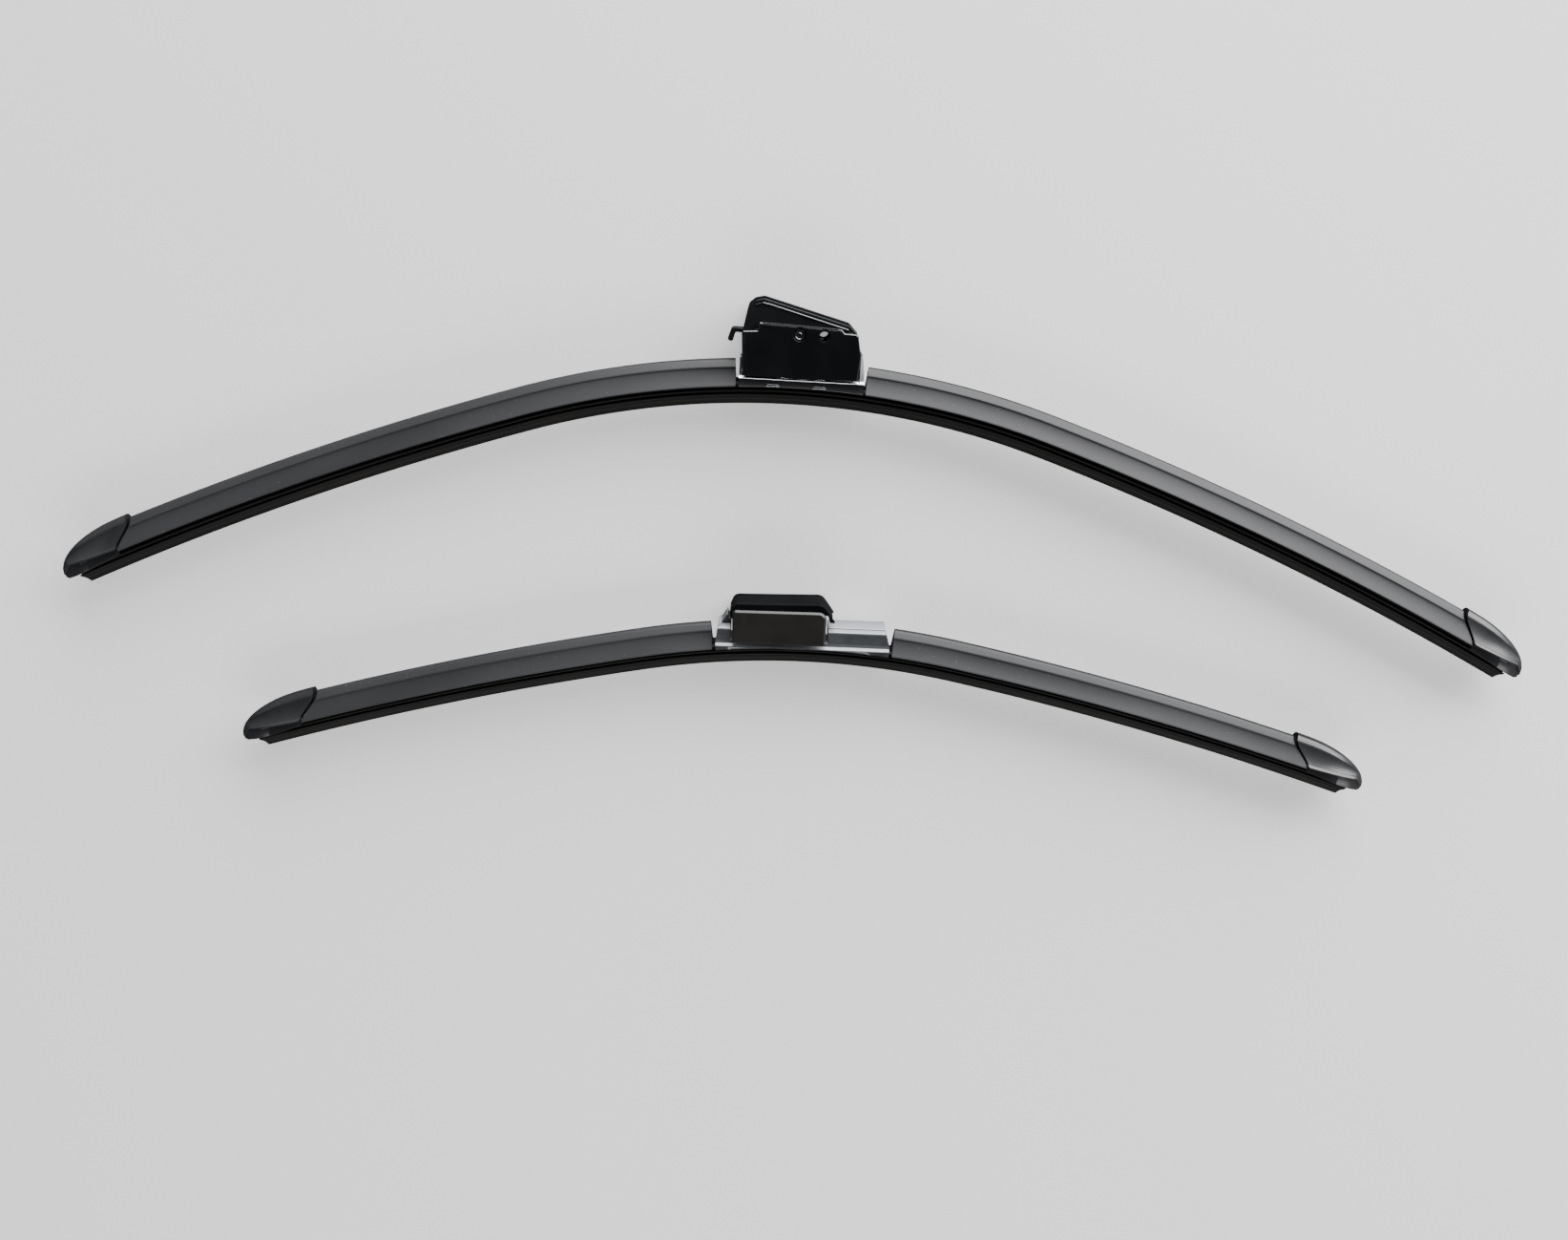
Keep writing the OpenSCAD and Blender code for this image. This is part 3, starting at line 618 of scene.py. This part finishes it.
LEDGE = [(10.4, 7.45), (12.5, 7.5), (15.0, 7.62), (15.3, 7.75), (15.42, 7.9), (15.55, 8.0), (15.7, 7.9),
         (16.4, 6.6), (16.5, 6.3), (16.62, 6.18),
         (17.0, 6.12), (17.12, 6.0), (17.45, 5.6), (17.5, 5.4), (17.5, 0.0)]


def ledge(u0, u1, lean0, lean1):
    """A ledge block from u0 to u1 at its foot; its ends lean in by lean0 and lean1 at the top."""
    rows = []
    for k in range(13):
        t = k / 12
        row = []
        for v, z in LEDGE:
            rise = (v - LEDGE[0][0]) / (17.5 - LEDGE[0][0])
            a, b = u0 + lean0 * rise, u1 - lean1 * rise
            row.append((a + (b - a) * t, v, z))
        rows.append(row + [(u, v, -z) for u, v, z in reversed(row[:-1])])
    return loft(rows)


ramp = slab([(-33.4, 17.3), (-31.0, 21.1), (-30.8, 21.1), (-30.5, 20), (-29.9, 19), (-29.5, 18.6),
             (-29.5, 17.3)], -6, 6)
ear = plate_with_holes(rounded([(-13.5, 10.2), (-4.5, 10.2), (-4.5, 21.5, 4.4),
                (-13.5, 21.5, 4.4)], 10), [((-9, PIVOT), 2.4)], 5.4, 6.9)
piece("short_base.rail", SHORT.at, *loft(rail_rows(-35.4, 37.8)), ["short_base"], "short_blade", "base_grey", sharp=50)
piece("short_base.ledges", SHORT.at, *merged(ledge(-35.4, -29.3, 1.2, 0), ledge(11.9, 37.8, 0, 1.8)), ["short_base"],
      "short_blade", "base_grey", sharp=60)
piece("short_base.ears", SHORT.at, *merged(ramp, both(ear)), ["short_base"], "short_blade", "base_grey", bevel=0.2)

# Short cover: a dark roof over two skirts, open below, with the arm's slot in its right end.
cover_out = rounded([(-28.9, 20.1, 0.3), (-30, 22.2, 0.8), (-28.3, 26.6, 3), (9.2, 27.6, 4), (14.8, 19.8, 0.4),
                (12.4, 19.8), (11.4, 22.8),
                     (-23.4, 22.8), (-24.4, 20.1)], 8)
arch = rounded([(-29.9, 22.3), (-28.3, 26.5, 3), (9.2, 27.5, 4), (13.6, 21.6), (12.9, 21.2), (8.6, 26.0, 3),
                (-27.2, 25.2, 2), (-28.9, 22.4)], 8)
cover_knuckle = turned((-26.2, 22.9), [(1.3, 5.0), (2.3, 5.0), (2.3, 8.7), (1.3, 8.7)])
piece("short_cover.skirts", SHORT.at, *both(slab(cover_out, 7.5, 8.9)), ["short_cover"], "short_cover", "cover_black",
      bevel=0.6, sharp=32, segments=4, slot="gloss_black")
piece("short_cover.roof", SHORT.at, *merged(slab(arch, -8.2, 8.2), both(cover_knuckle)), ["short_cover"],
      "short_cover", "cover_black",
      bevel=0.2, sharp=32, slot="gloss_black")

# Long carrier: a bright chamfered flange over a dark clamp, two bent tabs, ears and end plates.
def clamp_rows(u0, u1, step=2.5):
    rows = []
    count = int((u1 - u0) / step) + 1
    for k in range(count + 1):
        u = u0 + (u1 - u0) * k / count
        low = HOOK + LONG.on_line(u, 0)[1]
        half = [(10.6, 0.0), (10.6, 6.5), (10.2, 6.35), (low + 0.3, 6.35), (low, 6.1), (low, 4.2), (low + 0.8, 4.2),
                (low + 0.8, 4.8), (low + 1.9, 4.8), (low + 1.9, 2.7), (low + 3.2, 2.7)]
        rows.append([(u, v, z) for v, z in half] + [(u, v, -z) for v, z in reversed(half)])
    return rows


flange = [(11.7, 0.0), (11.7, 7.75), (11.62, 7.9), (11.52, 8.0), (10.95, 8.45), (10.8, 8.58), (10.62, 8.5),
          (10.55, 6.4), (10.55, 0.0)]
flange_rows = [[(u, v, z) for v, z in flange] + [(u, v, -z) for v, z in reversed(flange[1:-1])] for u in (-20.6, 4.6, 29.9)]
piece("long_carrier.flange", LONG.at, *loft(flange_rows), ["long_carrier"], "long_blade", "carrier_steel", sharp=40)
piece("long_carrier.clamp", LONG.at, *loft(clamp_rows(-20.6, 29.9)), ["long_carrier"], "long_blade",
      "lid_black", sharp=50,
      slot="carrier_steel")
tabs = [slab(rounded([(u, 7.6), (u + 5.5, 7.6), (u + 5.1, 8.6, 0.4),
                (u + 0.4, 8.6, 0.4)]), 6.2, 6.75) for u in (-9.5, 9.3)]
long_ear = plate_with_holes(rounded([(0.5, 11.5), (9.5, 11.5), (9.5, 21.5, 4.4),
                (0.5, 21.5, 4.4)], 10), [((5, PIVOT), 2.4)], 5.4, 6.9)
left_plate = slab([(-20.6, 11.5), (-19.7, 11.5), (-19.7, 19), (-20.6, 19)], -6, 6)
flap_rows = []
for v, u0, u1 in ((11.5, 27.4, 29.9), (16, 27.6, 29.75), (19.5, 27.65, 29.2), (22.2, 27.9, 28.65)):
    edge_at = u0 + 0.25 * (u1 - u0)
    half = [(u0, 7.9), (edge_at, 8.3), (u1, 8.3 - 1.05 * (u1 - edge_at))]
    flap_rows.append([(u, v, z) for u, z in half] + [(u, v, -z) for u, z in reversed(half)])
piece("long_carrier.plates", LONG.at, *merged(both(merged(*tabs)), both(long_ear), left_plate), ["long_carrier"],
      "long_blade",
      "carrier_steel", bevel=0.22)
piece("long_carrier.flap", LONG.at, *loft(flap_rows), ["long_carrier"], "long_blade", "carrier_steel", sharp=25)

for name in ("long_lid_pin", "long_latch_pin", "short_cover_pin"):
    edge = frame["nodes"][name].modifiers.new("edges", "BEVEL")
    edge.width, edge.segments, edge.limit_method, edge.angle_limit = 0.2 * MM, 3, "ANGLE", radians(32)
    edge.harden_normals = True
    frame["nodes"][name].data.shade_smooth()

# ---- CAD nodes that keep their shape take a finish; the three pins above also took soft edges ----

for item in frame["record"]["subparts"]:
    node = frame["nodes"][item["node"]]
    node.data.materials.clear()
    node.data.materials.append(FINISHES[item["material_slot"]])


# ---- Floor, light and camera ----

def area(name, at, to, size, power, colour=(1, 1, 1)):
    lamp = bpy.data.lights.new(name, "AREA")
    lamp.shape, lamp.size, lamp.size_y, lamp.energy, lamp.color = "RECTANGLE", size[0], size[1], power, colour
    obj = bpy.data.objects.new(name, lamp)
    bpy.context.scene.collection.objects.link(obj)
    obj.location = at
    obj.rotation_euler = (Vector(to) - Vector(at)).to_track_quat("-Z", "Y").to_euler()
    return obj


floor_mesh = bpy.data.meshes.new("floor")
floor_mesh.from_pydata([(-6, -6, 0), (6, -6, 0), (6, 6, 0), (-6, 6, 0)], [], [(0, 1, 2, 3)])
floor = bpy.data.objects.new("floor", floor_mesh)
bpy.context.scene.collection.objects.link(floor)
pale = Finish("pale_floor")
floor_mesh.materials.append(pale.put(Base_Color=(0.95, 0.95, 0.95), Roughness=0.9, Specular_IOR_Level=0.1,
                                     Emission_Color=(1, 1, 1), Emission_Strength=0.42))
floor.visible_glossy = False

world = bpy.data.worlds.new("studio")
bpy.context.scene.world = world
world.use_nodes = True
air = world.node_tree
heading = air.nodes.new("ShaderNodeTexCoord").outputs["Generated"]
parts = air.nodes.new("ShaderNodeSeparateXYZ")
air.links.new(heading, parts.inputs[0])
height, ahead, aside = (Value(air, parts.outputs[i]) for i in (2, 1, 0))
# A dark ceiling over pale walls: flat faces turned up stay black, slopes towards the walls shine.
walls = height.ramp(0.95, 0.25, 0.05, 1.0) * ahead.ramp(-1.0, 0.8, 0.30, 1.2) * aside.ramp(-0.9, 0.3, 0.35, 1.15)
walls = walls * height.ramp(-0.45, -0.05, 0.12, 1.0)
air.links.new(walls.socket, air.nodes["Background"].inputs["Strength"])
air.nodes["Background"].inputs["Color"].default_value = (1, 1, 1, 1)

area("spine_side_panel", (0.75, 1.30, 0.52), (0.1, 0.0, 0.05), (2.7, 1.05), 92)
area("lip_side_panel", (0.3, -1.7, 0.9), (0, 0, 0), (2.4, 0.6), 20)

camera_data = bpy.data.cameras.new("view")
camera_data.lens, camera_data.sensor_width = 37.42, 36.0
camera = bpy.data.objects.new("view", camera_data)
bpy.context.scene.collection.objects.link(camera)
eye = Vector((-11.95, 75.9, 677.35)) * MM
aim = Vector((-1.64, -108.58, 11)) * MM
back = (eye - aim).normalized()
right = Vector((0.9984, 0.0558, 0.0)).normalized()
up = back.cross(right).normalized()
right = up.cross(back)
camera.matrix_world = Matrix.Translation(eye) @ Matrix((right, up, back)).transposed().to_4x4()
bpy.context.scene.camera = camera
